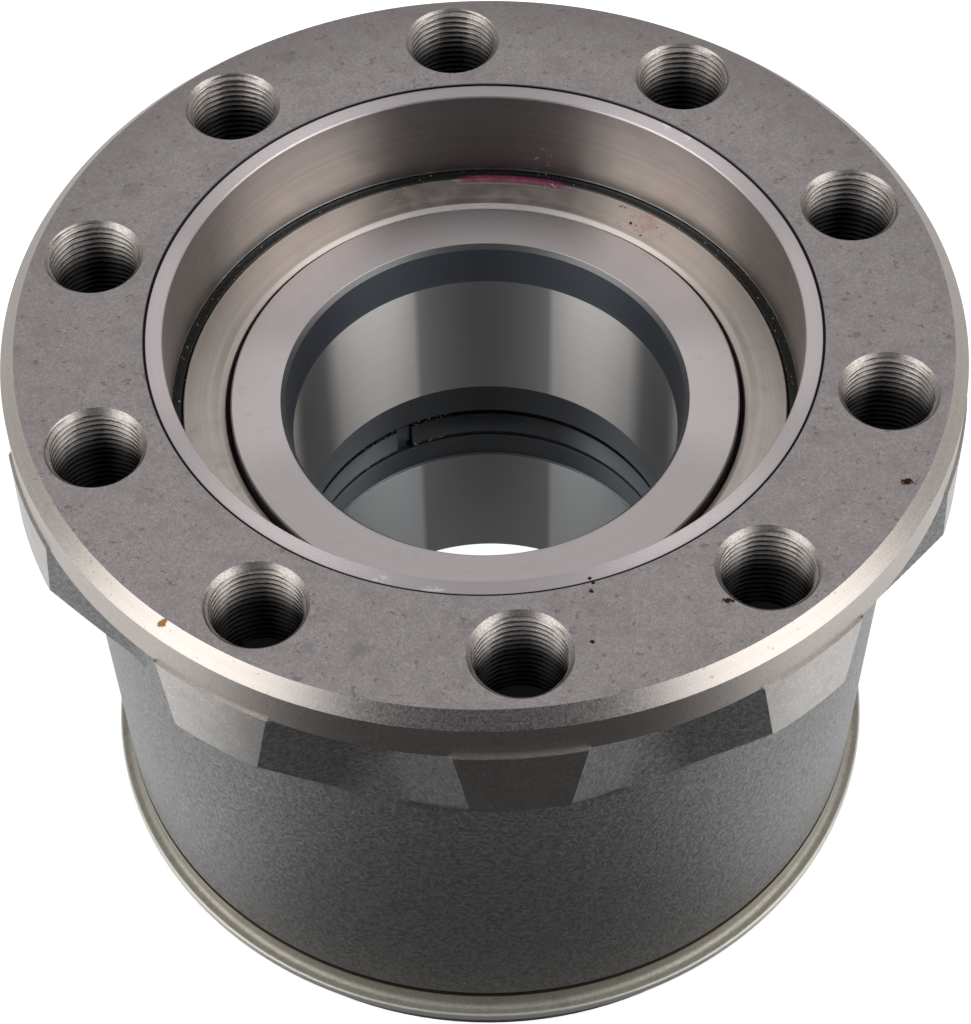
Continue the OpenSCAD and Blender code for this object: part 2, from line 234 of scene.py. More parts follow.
def turned(name, corners, closed=True, gap=None):
    """A surface of revolution about Z. gap is the angle and width of a ring's slot, in radians and mm."""
    points = np.array(outline_points(corners, closed))
    rows = len(points)
    if gap is None:
        angles = np.arange(COLUMNS) * 2 * math.pi / COLUMNS
    else:
        half = gap[1] / 2 / points[:, 0].mean()
        angles = gap[0] + half + np.linspace(0, 2 * math.pi - 2 * half, COLUMNS)
    cos, sin = np.cos(angles)[:, None], np.sin(angles)[:, None]
    r, z, nr, nz = points.T
    places = np.stack([r * cos, r * sin, np.broadcast_to(z, (COLUMNS, rows))], -1)
    normals = np.stack([nr * cos, nr * sin, np.broadcast_to(nz, (COLUMNS, rows))], -1)
    spans = COLUMNS if gap is None else COLUMNS - 1
    steps = rows if closed else rows - 1
    faces = []
    for i in range(spans):
        j = (i + 1) % COLUMNS
        for k in range(steps):
            m = (k + 1) % rows
            faces.append((i * rows + k, j * rows + k, j * rows + m, i * rows + m))
    if gap is not None:
        faces.append(tuple(range(rows)))
        faces.append(tuple(reversed(range((COLUMNS - 1) * rows, COLUMNS * rows))))
        return new_piece(name, places.reshape(-1, 3), faces, sharp=math.radians(35))
    return new_piece(name, places.reshape(-1, 3), faces, normals.reshape(-1, 3))


def upside_down(corners):
    """The same outline turned over about the middle of the bearing, for the inboard row."""
    turned_over = 2 * BEARING_MID
    return [(r, turned_over - depth, radius) for r, depth, radius in reversed(corners)]


def soft_max(a, b, width):
    """The larger of two radii, with a round blend where they are within a width of each other."""
    blend = np.clip(1 - np.abs(a - b) / width, 0, 1)
    return np.maximum(a, b) + blend * blend * width / 4


def soft_min(a, b, width):
    return -soft_max(-a, -b, width)


# Cast skin of the hub


def barrel_radius(depth):
    return BARREL_R + (BARREL_LOW - depth) * math.tan(BARREL_DRAFT)


def boss_side_radius(angle, depth):
    """Distance from the axis of a boss's drafted side."""
    nx = math.cos(BOSS_TILT) * math.sin(BOSS_SIDE)
    ny = math.cos(BOSS_TILT) * math.cos(BOSS_SIDE)
    nz = -math.sin(BOSS_TILT)
    # Height is measured from the rim's lower edge
    height = RIM_DEPTH - depth
    return (nx * BOSS_R + ny * BOSS_W / 2 - nz * height) / (nx * np.cos(angle) + ny * np.sin(angle))


def cast_radius(angle, depth):
    """Distance from the axis of the rough cast skin, at an angle from the middle of a boss."""
    slope = (BOSS_R - barrel_radius(BOSS_FOOT)) / (BOSS_FOOT - BOSS_DEPTH)
    under = BOSS_R - (depth - BOSS_DEPTH) * slope
    boss = soft_min(boss_side_radius(angle, depth), under, 0.5)
    corner = np.clip(RIM_FILLET - (depth - RIM_DEPTH), 0, RIM_FILLET)
    fillet = RIM_FILLET - np.sqrt(RIM_FILLET**2 - corner**2)
    return soft_max(barrel_radius(depth) + fillet, boss, 1.6)


def face_half_angle(depth):
    """Half the angle that a boss's turned face spans at a depth."""
    low = np.zeros_like(depth)
    high = np.full_like(depth, math.radians(17))
    for _ in range(30):
        middle = (low + high) / 2
        inside = cast_radius(middle, depth) > BOSS_R
        low = np.where(inside, middle, low)
        high = np.where(inside, high, middle)
    return low


def cast_skin():
    """Bosses and barrel, in rows of depth and columns of angle that follow the edges of the turned faces."""
    half = math.pi / HOLE_COUNT
    fine_rows = BOSS_DEPTH - np.array([1.2, 0.8, 0.5, 0.25, 0.1])
    face_rows = np.concatenate([np.linspace(RIM_DEPTH, BOSS_DEPTH - 1.6, 34), fine_rows])
    # Rows lie close down to just below the bosses, and wider on the plain barrel
    foot_rows = np.linspace(BOSS_DEPTH, BOSS_FOOT + 4.5, 48)
    low_rows = np.concatenate([foot_rows, np.linspace(BOSS_FOOT + 5.5, BARREL_LOW - 1, 68)])
    depths = np.concatenate([face_rows, low_rows])
    edge = face_half_angle(face_rows)
    even = math.radians(4.5)
    edges = np.concatenate([edge, np.linspace(edge[-1], even, len(low_rows))])
    inner = 8
    outer = 22
    share = np.concatenate([np.linspace(0, 1, inner + 1), 1 + np.linspace(0, 1, outer + 1)[1:]])
    grid = []
    for depth, face_edge in zip(depths, edges):
        angles = np.where(share <= 1, share * face_edge, face_edge + (share - 1) * (half - face_edge))
        grid.append(angles)
    grid = np.array(grid)
    deep = depths[:, None]
    radius = np.minimum(cast_radius(grid, deep), BOSS_R)
    radius[: len(face_rows), : inner + 1] = BOSS_R
    # A whole sector runs from one middle of a pocket to the next
    angle = np.concatenate([-grid[:, :0:-1], grid[:, :-1]], axis=1)
    radius = np.concatenate([radius[:, :0:-1], radius[:, :-1]], axis=1)
    per_sector = angle.shape[1]
    # The first row is the rim's lower edge, from which the ledge or the underside starts
    angle = np.vstack([angle[:1], angle])
    radius = np.vstack([np.full((1, per_sector), RIM_R), radius])
    depths = np.concatenate([[RIM_DEPTH], depths])
    turn = FIRST_HOLE + BOSS_TURN + np.arange(HOLE_COUNT) * 2 * half
    angles = (turn[:, None, None] + angle[None]).transpose(1, 0, 2).reshape(len(depths), -1)
    radii = np.tile(radius, (1, HOLE_COUNT))
    columns = angles.shape[1]
    heights = np.broadcast_to((HUB_H - depths)[:, None], angles.shape)
    places = np.stack([radii * np.cos(angles), radii * np.sin(angles), heights], -1).reshape(-1, 3)
    faces = []
    finishes = []
    first_low = len(face_rows) + 1
    for k in range(len(depths) - 1):
        for i in range(columns):
            j = (i + 1) % columns
            faces.append((k * columns + i, (k + 1) * columns + i, (k + 1) * columns + j, k * columns + j))
            in_sector = i % per_sector
            middle = grid.shape[1] - 1
            on_face = middle - inner <= in_sector < middle + inner
            finishes.append(1 if on_face and k < first_low else 0)
    skin = new_piece("hub_cast_skin", places, faces, sharp=math.radians(24))
    skin.data.polygons.foreach_set("material_index", finishes)
    return skin


# Threaded holes


def thread_radius(phase):
    """Distance from a hole's axis of its M20 x 1.5 thread, at a share of one pitch."""
    crest = 0.125
    slope = 0.3125
    depth = np.clip((0.5 - np.abs(phase - 0.5) - crest) / slope, 0, 1)
    return CREST_R + (ROOT_R - CREST_R) * depth


def threaded_holes():
    columns = 48
    rows = int(HOLE_DEPTH / THREAD_PITCH * 8)
    depths = np.linspace(0, HOLE_DEPTH, rows + 1)[:, None]
    angles = np.arange(columns)[None] * 2 * math.pi / columns
    phase = (depths / THREAD_PITCH - angles / (2 * math.pi)) % 1
    mouth = MOUTH_R - depths
    radius = np.maximum(thread_radius(phase), mouth)
    radius[0] = MOUTH_R
    places = []
    faces = []
    for k in range(HOLE_COUNT):
        turn = FIRST_HOLE + k * 2 * math.pi / HOLE_COUNT
        start = len(places)
        x = HOLE_CIRCLE_R * math.cos(turn) + radius * np.cos(angles + turn)
        y = HOLE_CIRCLE_R * math.sin(turn) + radius * np.sin(angles + turn)
        z = np.broadcast_to(HUB_H - depths, x.shape)
        places.extend(np.stack([x, y, z], -1).reshape(-1, 3).tolist())
        tip = len(places)
        places.append((
            HOLE_CIRCLE_R * math.cos(turn),
            HOLE_CIRCLE_R * math.sin(turn),
            HUB_H - HOLE_DEPTH - DRILL_POINT,
        ))
        for m in range(rows):
            for i in range(columns):
                j = (i + 1) % columns
                low = start + (m + 1) * columns
                high = start + m * columns
                faces.append((high + i, high + j, low + j, low + i))
        last = start + rows * columns
        faces.extend((last + i, last + (i + 1) % columns, tip) for i in range(columns))
    return new_piece("hub_threads", places, faces, sharp=math.radians(40))


def flange_face():
    """The flat face with its ten hole mouths, from the step to the chamfer."""
    columns = 48
    rings = 5
    spans = COLUMNS // HOLE_COUNT
    edge_in = STEP_R
    edge_out = RIM_R - CHAMFER
    places = []
    faces = []
    half = math.pi / HOLE_COUNT
    for k in range(HOLE_COUNT):
        turn = FIRST_HOLE + k * 2 * half
        centre = np.array([HOLE_CIRCLE_R * math.cos(turn), HOLE_CIRCLE_R * math.sin(turn)])
        # The border of one sector, walked round from its outer middle
        arc = np.linspace(0, half, spans // 2 + 1)
        side = np.linspace(0, 1, 7)[1:-1]
        border = [(edge_out, a) for a in arc]
        border += [(edge_out + (edge_in - edge_out) * s, half) for s in side]
        border += [(edge_in, a) for a in arc[::-1]]
        border += [(r, -a) for r, a in border[-2:0:-1]]
        outer = np.array([(r * math.cos(turn + a), r * math.sin(turn + a)) for r, a in border])
        ways = np.arctan2(*(outer - centre).T[::-1])
        inner = centre + MOUTH_R * np.stack([np.cos(ways), np.sin(ways)], -1)
        start = len(places)
        n = len(border)
        for ring in range(rings + 1):
            share = (ring / rings) ** 1.5
            for p in inner + (outer - inner) * share:
                places.append((p[0], p[1], HUB_H))
        for ring in range(rings):
            for i in range(n):
                j = (i + 1) % n
                low = start + ring * n
                faces.append((low + i, low + n + i, low + n + j, low + j))
    return new_piece("hub_flange_face", places, faces, normals=[(0, 0, 1)] * len(places))


# Turned outlines, each corner as (radius, depth, rounding), with the material on the left

RIM_OUTLINE = [
    (RIM_R, RIM_DEPTH, 0),
    (RIM_R, CHAMFER, 0.25),
    (RIM_R - CHAMFER, 0, 0),
]
BORE_OUTLINE = [
    (STEP_R, 0, 0),
    (STEP_R, STEP_DEPTH, 0.08),
    (RECESS_R + 0.3, STEP_DEPTH, 0.15),
    (RECESS_R, STEP_DEPTH + RECESS_EDGE, 0.15),
    (RECESS_R, RECESS_DEPTH, 0.2),
    (GROOVE_R, RECESS_DEPTH, 0.2),
    (GROOVE_R, GROOVE_LOW, 0.2),
    (BEARING_R, GROOVE_LOW, 0.2),
    (BEARING_R, BEARING_LOW, 0.2),
    (END_BORE_R, BEARING_LOW, 0.3),
    (END_BORE_R, SPIGOT_LOW - 1, 0.2),
    (END_BORE_R + 1, SPIGOT_LOW, 0.2),
    (SPIGOT_R - 1, SPIGOT_LOW, 0.2),
    (SPIGOT_R, SPIGOT_LOW - 1, 0.2),
    (SPIGOT_R, SEAT_LOW, 0.2),
    (SEAT_R, SEAT_LOW, 0.2),
    (SEAT_R, BARREL_LOW, 0.3),
    (BARREL_R - 1, BARREL_LOW, 0.4),
    (barrel_radius(BARREL_LOW - 1), BARREL_LOW - 1, 0),
]


def inner_ring_outline(length, relief, mouth):
    """Inner ring of the outboard row. mouth holds the corners of its bore from the face down to the seat."""
    apex = PITCH_R / math.sin(ROLLER_SLOPE)
    spread = ROLLER_R / apex
    apex_depth = ROW_DEPTH + apex * math.cos(ROLLER_SLOPE)
    end = RING_FACE + length

    def raceway_point(along):
        out = -along * spread
        r = along * math.sin(ROLLER_SLOPE) + out * math.cos(ROLLER_SLOPE)
        return r, apex_depth - along * math.cos(ROLLER_SLOPE) + out * math.sin(ROLLER_SLOPE)

    near_r, near_depth = raceway_point(apex - ROLLER_L / 2 - POCKET_PLAY)
    far_r, far_depth = raceway_point(apex + ROLLER_L / 2 + POCKET_PLAY)
    rib_depth = far_depth + (RIB_R - far_r) * math.tan(ROLLER_SLOPE)
    small_r = near_r + SMALL_RIB_H * math.cos(ROLLER_SLOPE)
    small_depth = near_depth + SMALL_RIB_H * math.sin(ROLLER_SLOPE)
    clip_groove_r = CLIP_R + CLIP_HOOK_H + CLIP_PLAY
    clip_groove_low = CLIP_REACH + CLIP_END_PLAY
    clip_groove_high = CLIP_REACH - CLIP_HOOK_L - CLIP_PLAY
    return [
        (NOSE_R, end, 0.1),
        (small_r, end, 0.3),
        (small_r, small_depth, 0.2),
        (near_r, near_depth, 0.1),
        (far_r, far_depth, 0.1),
        (RIB_R, rib_depth, 0.3),
        (RIB_R, RING_FACE + 0.3, 0.1),
        (RIB_R - 0.3, RING_FACE, 0.1),
        *mouth,
        (BORE_R, end - relief - RELIEF_EDGE, 0.15),
        (RELIEF_R, end - relief, 0.1),
        (RELIEF_R, end - clip_groove_low, 0.1),
        (clip_groove_r, end - clip_groove_low, 0.1),
        (clip_groove_r, end - clip_groove_high, 0.1),
        (NOSE_R, end - clip_groove_high, 0.1),
    ]


OUTBOARD_RING = inner_ring_outline(OUTBOARD_L, OUTBOARD_RELIEF, [
    (RING_MOUTH_R, RING_FACE, 0.12),
    (LEAD_R, RING_FACE + RING_MOUTH_H, 0.15),
    (BORE_R + LEAD_STEP, RING_FACE + LEAD_L, 0.15),
    (BORE_R, RING_FACE + LEAD_END, 0.1),
])
INBOARD_RING = inner_ring_outline(INBOARD_L, INBOARD_RELIEF, [
    (SHOULDER_MOUTH_R, RING_FACE, 0.15),
    (BORE_R, RING_FACE + SHOULDER_H, 0.2),
])
CLIP_OUTLINE = [
    (CLIP_R - CLIP_T, RING_END + CLIP_REACH, 0.1),
    (CLIP_R + CLIP_HOOK_H, RING_END + CLIP_REACH, 0.1),
    (CLIP_R + CLIP_HOOK_H, RING_END + CLIP_REACH - CLIP_HOOK_L, 0.1),
    (CLIP_R, RING_END + CLIP_REACH - CLIP_HOOK_L, 0.1),
    (CLIP_R, RING_END - CLIP_REACH + CLIP_HOOK_L, 0.1),
    (CLIP_R + CLIP_HOOK_H, RING_END - CLIP_REACH + CLIP_HOOK_L, 0.1),
    (CLIP_R + CLIP_HOOK_H, RING_END - CLIP_REACH, 0.1),
    (CLIP_R - CLIP_T, RING_END - CLIP_REACH, 0.1),
]
SNAP_OUTLINE = [
    (SNAP_BORE_R, GROOVE_LOW, 0.15),
    (SNAP_R, GROOVE_LOW, 0.2),
    (SNAP_R, SNAP_TOP, 0.2),
    (SNAP_BORE_R + SNAP_CHAMFER, SNAP_TOP, 0.15),
    (SNAP_BORE_R, SNAP_TOP + SNAP_CHAMFER, 0.15),
]
CASE_OUTLINE = [
    (CASE_BORE_R, CASE_LOW, 0.2),
    (CASE_BORE_R + CASE_T, CASE_LOW, 0.2),
    (CASE_BORE_R + CASE_T, CASE_BACK - 0.1, 0.3),
    (CASE_R - CASE_T, CASE_TOP + CASE_T, 0.5),
    (CASE_R - CASE_T, CASE_SHELF, 0.1),
    (CASE_SPIGOT_R - CASE_T, CASE_SHELF, 0.2),
    (CASE_SPIGOT_R - CASE_T, CASE_SPIGOT_LOW, 0.2),
    (CASE_SPIGOT_R, CASE_SPIGOT_LOW, 0.2),
    (CASE_SPIGOT_R, GROOVE_LOW, 0.1),
    (CASE_R, GROOVE_LOW, 0.1),
    (CASE_R, CASE_TOP, 0.25),
    (CASE_BORE_R + CASE_T, CASE_TOP + CASE_FALL, 0.0),
    (ROLLED_EDGE_R + 1.2, CASE_TOP + CASE_FALL, 0.8),
    (ROLLED_EDGE_R, CASE_TOP + 1.1, 0.4),
    (ROLLED_EDGE_R, CASE_BACK, 0.1),
    (CASE_BORE_R, CASE_BACK, 0.1),
]
DEFLECTOR_OUTLINE = [
    (SEAT_R, LIP_LOW, 0.3),
    (LIP_R, LIP_LOW, 0.6),
    (LIP_R, LIP_TOP, 0.6),
    (COLLAR_R, LIP_TOP, 1.6),
    (COLLAR_R, BARREL_LOW, 0.5),
    (SEAT_R, BARREL_LOW, 0.1),
]


def studio_point(azimuth, elevation, distance):
    """A place in metres around the hub. Azimuth 0 is on the camera's side, and 90 on its right."""
    a = math.radians(azimuth) + VIEW_TURN
    e = math.radians(elevation)
    return distance * Vector((math.sin(a) * math.cos(e), -math.cos(a) * math.cos(e), math.sin(e)))


# Materials


class Nodes:
    """Short forms for building the nodes of a material or of the world."""

    def __init__(self, tree):
        self.tree = tree

    def add(self, kind, **values):
        node = self.tree.nodes.new(kind)
        for key, value in values.items():
            setattr(node, key, value)
        return node

    def link(self, source, target):
        self.tree.links.new(source, target)

    def put(self, socket, value):
        """Sets a socket to a number or a colour, or links it to another socket."""
        if isinstance(value, bpy.types.NodeSocket):
            self.link(value, socket)
        else:
            socket.default_value = value

    def math(self, operation, a, b=0.0):
        node = self.add("ShaderNodeMath", operation=operation)
        self.put(node.inputs[0], a)
        self.put(node.inputs[1], b)
        return node.outputs[0]

    def chain(self, operation, values):
        """Joins any number of values by one operation."""
        result, *rest = values
        for value in rest:
            result = self.math(operation, result, value)
        return result

    def product(self, *values):
        return self.chain("MULTIPLY", values)

    def total(self, *values):
        return self.chain("ADD", values)

    def most(self, *values):
        return self.chain("MAXIMUM", values)

    def less(self, a, b):
        return self.math("SUBTRACT", a, b)

    def hypot(self, a, b):
        return self.math("SQRT", self.total(self.product(a, a), self.product(b, b)))

    def ramp(self, value, low, high, out_low=0.0, out_high=1.0):
        """Goes smoothly from one output to the other while the value goes from low to high."""
        node = self.add("ShaderNodeMapRange", interpolation_type="SMOOTHSTEP")
        self.put(node.inputs["Value"], value)
        node.inputs["From Min"].default_value = low
        node.inputs["From Max"].default_value = high
        node.inputs["To Min"].default_value = out_low
        node.inputs["To Max"].default_value = out_high
        return node.outputs["Result"]

    def cone(self, cosine, wide, narrow, most=1.0):
        """0 outside a wide angle and most within a narrow one, both in degrees, from an angle's cosine."""
        return self.ramp(cosine, math.cos(math.radians(wide)), math.cos(math.radians(narrow)), 0, most)

    def mix(self, share, a, b):
        node = self.add("ShaderNodeMix", data_type="RGBA")
        self.put(node.inputs["Factor"], share)
        self.put(node.inputs["A"], a)
        self.put(node.inputs["B"], b)
        return node.outputs["Result"]

    def vector(self, x, y, z):
        node = self.add("ShaderNodeCombineXYZ")
        for socket, value in zip(node.inputs, (x, y, z)):
            self.put(socket, value)
        return node.outputs[0]

    def dot(self, a, direction):
        node = self.add("ShaderNodeVectorMath", operation="DOT_PRODUCT")
        self.link(a, node.inputs[0])
        node.inputs[1].default_value = direction
        return node.outputs["Value"]


class Paint(Nodes):
    """A material of a turned or cast part, with its place in millimetres around the hub's axis."""

    def __init__(self, name):
        self.material = bpy.data.materials.new(name)
        self.material.use_nodes = True
        super().__init__(self.material.node_tree)
        self.shader = self.tree.nodes["Principled BSDF"]
        self.where = self.add("ShaderNodeTexCoord").outputs["Object"]
        split = self.add("ShaderNodeSeparateXYZ")
        self.link(self.where, split.inputs[0])
        x, y, z = (self.product(v, 1 / MM) for v in split.outputs)
        self.depth = self.less(HUB_H, z)
        self.r = self.hypot(x, y)
        # A place for tool marks, which stay the same all round the axis
        self.rings = self.vector(self.product(self.r, MM), 0, self.product(z, MM))

    def noise(self, scale, detail=3.0, roughness=0.5, where=None):
        node = self.add("ShaderNodeTexNoise")
        node.inputs["Scale"].default_value = scale
        node.inputs["Detail"].default_value = detail
        node.inputs["Roughness"].default_value = roughness
        self.link(self.where if where is None else where, node.inputs["Vector"])
        return node.outputs["Fac"]

    def bump(self, height, strength, distance, under=None):
        """Bump up to a distance in millimetres."""
        node = self.add("ShaderNodeBump")
        node.inputs["Strength"].default_value = strength
        node.inputs["Distance"].default_value = distance * MM
        self.put(node.inputs["Height"], height)
        if under is not None:
            self.link(under, node.inputs["Normal"])
        return node.outputs["Normal"]

    def lathe(self, share):
        """Spreads reflections square to the tool marks, which run around the axis."""
        self.shader.inputs["Anisotropic"].default_value = share
        self.shader.inputs["Anisotropic Rotation"].default_value = 0.25
        tangent = self.add("ShaderNodeTangent", direction_type="RADIAL", axis="Z")
        self.link(tangent.outputs[0], self.shader.inputs["Tangent"])

    def spot(self, r, angle, size, ragged=0.5, stretch=1.0, lean=0.0):
        """Mask of a mark at a radius in mm and an angle in degrees of the photograph, seen from above."""
        a = math.radians(angle) + VIEW_TURN
        turn = a + math.radians(lean)
        middle = Vector((r * math.cos(a), r * math.sin(a), 0))
        ahead = Vector((math.cos(turn), math.sin(turn), 0))
        beside = Vector((-math.sin(turn), math.cos(turn), 0))
        along = self.less(self.dot(self.where, tuple(ahead / MM)), middle.dot(ahead))
        across = self.less(self.dot(self.where, tuple(beside / MM)), middle.dot(beside))
        wobble = self.ramp(self.noise(1500, 2), 0, 1, -ragged * size, ragged * size)
        far = self.total(self.hypot(self.product(along, 1 / stretch), across), wobble)
        return self.ramp(far, size, size * 0.6)

    def level_spot(self, mark, ragged=0.5):
        """Mask of a mark given as radius, angle, size and stretch, level in the photograph."""
        r, angle, size, stretch = mark
        return self.spot(r, angle, size, ragged, stretch, -angle)

    def far_side(self, wide, narrow):
        """1 within a narrow angle of the far side of the photograph, 0 outside a wide one."""
        cosine = self.math("DIVIDE", self.dot(self.where, tuple(studio_point(180, 0, 1 / MM))), self.r)
        return self.cone(cosine, wide, narrow)

    def both_sides(self):
        """1 on the left and on the right of the photograph, 0 on its near and far sides."""
        return self.less(self.far_side(120, 100), self.far_side(80, 62))

    def band(self, value, low, high, soft):
        """1 between two values, falling to 0 within a soft width."""
        return self.product(self.ramp(value, low - soft, low), self.ramp(value, high, high + soft, 1, 0))

    def finish(self, color, roughness, normal=None, metallic=1.0):
        self.put(self.shader.inputs["Base Color"], color)
        self.put(self.shader.inputs["Roughness"], roughness)
        self.put(self.shader.inputs["Metallic"], metallic)
        if normal is not None:
            self.link(normal, self.shader.inputs["Normal"])
        return self.material


def pinkish(level):
    return (level * 1.1, level, level * 1.015, 1.0)


def warm(level):
    return (level * 1.1, level, level * 0.93, 1.0)


def cool(level):
    return (level * 0.92, level, level * 1.1, 1.0)


def buff(level):
    return (level * 1.04, level, level * 0.96, 1.0)


def plain(level):
    return (level, level, level, 1.0)


def navy(level):
    return (level * 0.88, level * 0.97, level * 1.14, 1.0)


def brown(level):
    return (level, level * 0.76, level * 0.64, 1.0)


RUST = (0.06, 0.027, 0.014, 1.0)
LIGHT_RUST = (0.17, 0.085, 0.035, 1.0)
GREASE = (0.2, 0.02, 0.07, 1.0)
DARK_GREASE = (0.08, 0.007, 0.028, 1.0)
PINK_OIL = (0.62, 0.4, 0.38, 1.0)
# Dark colour along the seam between the cast barrel and the deflector ring
SEAM_DARK = (0.04, 0.026, 0.018, 1.0)
OLIVE = (0.5, 0.475, 0.415, 1.0)
DARK_OLIVE = (0.4, 0.38, 0.33, 1.0)
STAINED_OLIVE = (0.3, 0.265, 0.21, 1.0)
# Painted highlight along the deflector's lip edge
LIP_HIGHLIGHT_OLIVE = (0.72, 0.7, 0.65, 1.0)
INBOARD_BORE = (0.9, 0.92, 0.93, 1.0)
POLYMER = (0.36, 0.27, 0.13, 1.0)
DIM_BLUE = (0.75, 0.95, 1.3, 1.0)

# Radius, angle, size and stretch of each mark on the flange, its chamfer and the land
RUST_SPOTS = [
    (93.8, -27.9, 1.0, 1.4), (85.5, -57.6, 0.65, 2.4), (72.1, -74.2, 0.6, 1.0), (83.7, -76.5, 0.5, 1.2),
    (70.3, -73.4, 0.45, 1.3),
]
SMUDGES = [
    (88.6, -113.0, 1.6, 1.2), (86.0, -106.6, 2.0, 1.3), (84.5, 152.0, 2.2, 1.0), (92.5, -46.0, 1.8, 1.4),
    (77.0, -93.0, 1.5, 1.5), (90.0, 118.0, 2.0, 1.6),
]
CHAMFER_SPOT = (97.3, -129.9, 0.75, 1.6)
LAND_RUST = (69.0, -73.6, 0.5, 1.0)
LAND_SCRAPE = (69.0, -98.5, 0.45, 5.0)
# Radius, angle, size, raggedness and stretch of each nick on the land
LAND_NICKS = [
    (68.8, -107.6, 1.5, 0.9, 1.0), (69.0, -99.4, 2.2, 0.5, 0.5), (69.2, 54.0, 1.6, 1.0, 0.6),
    (69.3, 49.5, 1.3, 1.0, 0.6),
]


def flange_iron(name, level, lathe, tint, roughness, marked):
    """Turned iron of the flange, with clouds and dark pits. The face is marked by smudges and rust, and
    carries painted shade: a dark stripe along the step and a darker far side.
    """
    n = Paint(name)
    grain = n.noise(2600, 4, 0.7)
    clouds = n.noise(240, 4, 0.6)
    mottle = n.noise(900, 2, 0.5)
    pits = n.noise(620, 2, 0.5)
    color = n.mix(n.ramp(grain, 0.35, 0.65), tint(level * 0.78), tint(level * 1.18))
    color = n.mix(n.ramp(mottle, 0.35, 0.65, 0, 0.3), color, tint(level * 0.72))
    color = n.mix(n.ramp(clouds, 0.42, 0.7, 0, 0.4), color, warm(level * 0.66))
    pitted = n.ramp(pits, 0.64, 0.72, 0, 0.55 if marked else 0.15)
    color = n.mix(pitted, color, brown(level * 0.5))
    if marked:
        for mark in SMUDGES:
            share = n.product(n.level_spot(mark, 0.9), n.ramp(grain, 0.4, 0.6, 0.1, 0.45))
            color = n.mix(share, color, pinkish(level * 0.4))
        for mark in RUST_SPOTS:
            color = n.mix(n.level_spot(mark), color, RUST)
        color = n.mix(n.level_spot(CHAMFER_SPOT), color, LIGHT_RUST)
        # Painted shadow along the step, a little lighter on the far side as a painted highlight
        step_shade = n.mix(n.far_side(80, 40), plain(0.02), plain(0.16))
        color = n.mix(n.ramp(n.r, STEP_R + 0.4, STEP_R + 0.2), color, step_shade)
        # Painted shade: the outer face is darker towards the far side
        far_edge_shade = n.product(n.far_side(100, 30), n.ramp(n.r, 78, 96, 0, 0.45))
        color = n.mix(far_edge_shade, color, warm(level * 0.5))
    n.lathe(lathe)
    rough = n.ramp(grain, 0.3, 0.7, roughness - 0.06, roughness + 0.06)
    return n.finish(color, rough, n.bump(grain, 0.4, 0.07))


def edge_iron():
    """Rim and chamfer of the flange, with painted shade on the far side."""
    n = Paint("rim_iron")
    grain = n.noise(2300, 3, 0.6)
    marks = n.noise(1800, 2, 0.5, where=n.rings)
    specks = n.noise(1250, 1, 0.4)
    color = n.mix(n.ramp(grain, 0.3, 0.7), warm(0.42), warm(0.54))
    color = n.mix(n.ramp(marks, 0.4, 0.7, 0, 0.3), color, warm(0.38))
    color = n.mix(n.ramp(specks, 0.7, 0.76, 0, 0.55), color, warm(0.2))
    color = n.mix(n.level_spot(CHAMFER_SPOT), color, LIGHT_RUST)
    # Painted shade: darker on the far side
    color = n.mix(n.far_side(115, 60), color, warm(0.34))
    n.lathe(0.5)
    return n.finish(color, n.ramp(grain, 0.3, 0.7, 0.32, 0.42), n.bump(grain, 0.25, 0.05))


def land_iron():
    """Fine-turned land around the recess, with painted highlights on its left and right and a painted shadow
    stripe along the step.
    """
    n = Paint("land_iron")
    grain = n.noise(2600, 3, 0.6)
    marks = n.noise(2600, 2, 0.5, where=n.rings)
    color = n.mix(n.ramp(grain, 0.3, 0.7), pinkish(0.65), pinkish(0.75))
    # Painted highlights: lighter on the left and right
    color = n.mix(n.both_sides(), color, pinkish(0.9))
    color = n.mix(n.ramp(marks, 0.45, 0.7, 0, 0.25), color, pinkish(0.55))
    nicks = n.most(*(n.spot(*nick) for nick in LAND_NICKS))
    color = n.mix(n.product(nicks, n.ramp(n.noise(1300, 2), 0.35, 0.6)), color, plain(0.95))
    color = n.mix(n.level_spot(LAND_SCRAPE, 0.3), color, plain(1.0))
    color = n.mix(n.level_spot(LAND_RUST), color, RUST)
    # Painted shadow: a black stripe along the step's edge
    color = n.mix(n.ramp(n.r, STEP_R - 0.4, STEP_R - 0.2), color, plain(0.02))
    n.lathe(0.9)
    return n.finish(color, n.ramp(grain, 0.3, 0.7, 0.45, 0.52), n.bump(grain, 0.2, 0.04))


def recess_iron():
    """Bored wall of the recess and the bores below it, with a painted highlight along the wall's lower edge.
    """
    n = Paint("recess_iron")
    marks = n.noise(900, 3, 0.5, where=n.rings)
    stains = n.noise(110, 3, 0.6)
    color = n.mix(n.ramp(marks, 0.35, 0.65), warm(0.32), warm(0.35))
    color = n.mix(n.ramp(stains, 0.5, 0.75, 0, 0.3), color, warm(0.24))
    dust = n.ramp(n.noise(1900, 1), 0.66, 0.7)
    specks = n.product(n.spot(RECESS_R, 77.9, 2.4, 0.0), n.band(n.depth, 15, 22, 1), dust)
    color = n.mix(specks, color, plain(1.0))
    # Painted highlight along the wall's lower edge
    color = n.mix(n.band(n.depth, RECESS_DEPTH - 0.5, RECESS_DEPTH + 0.1, 0.1), color, plain(0.9))
    n.lathe(0.9)
    return n.finish(color, n.ramp(stains, 0.35, 0.7, 0.32, 0.4))


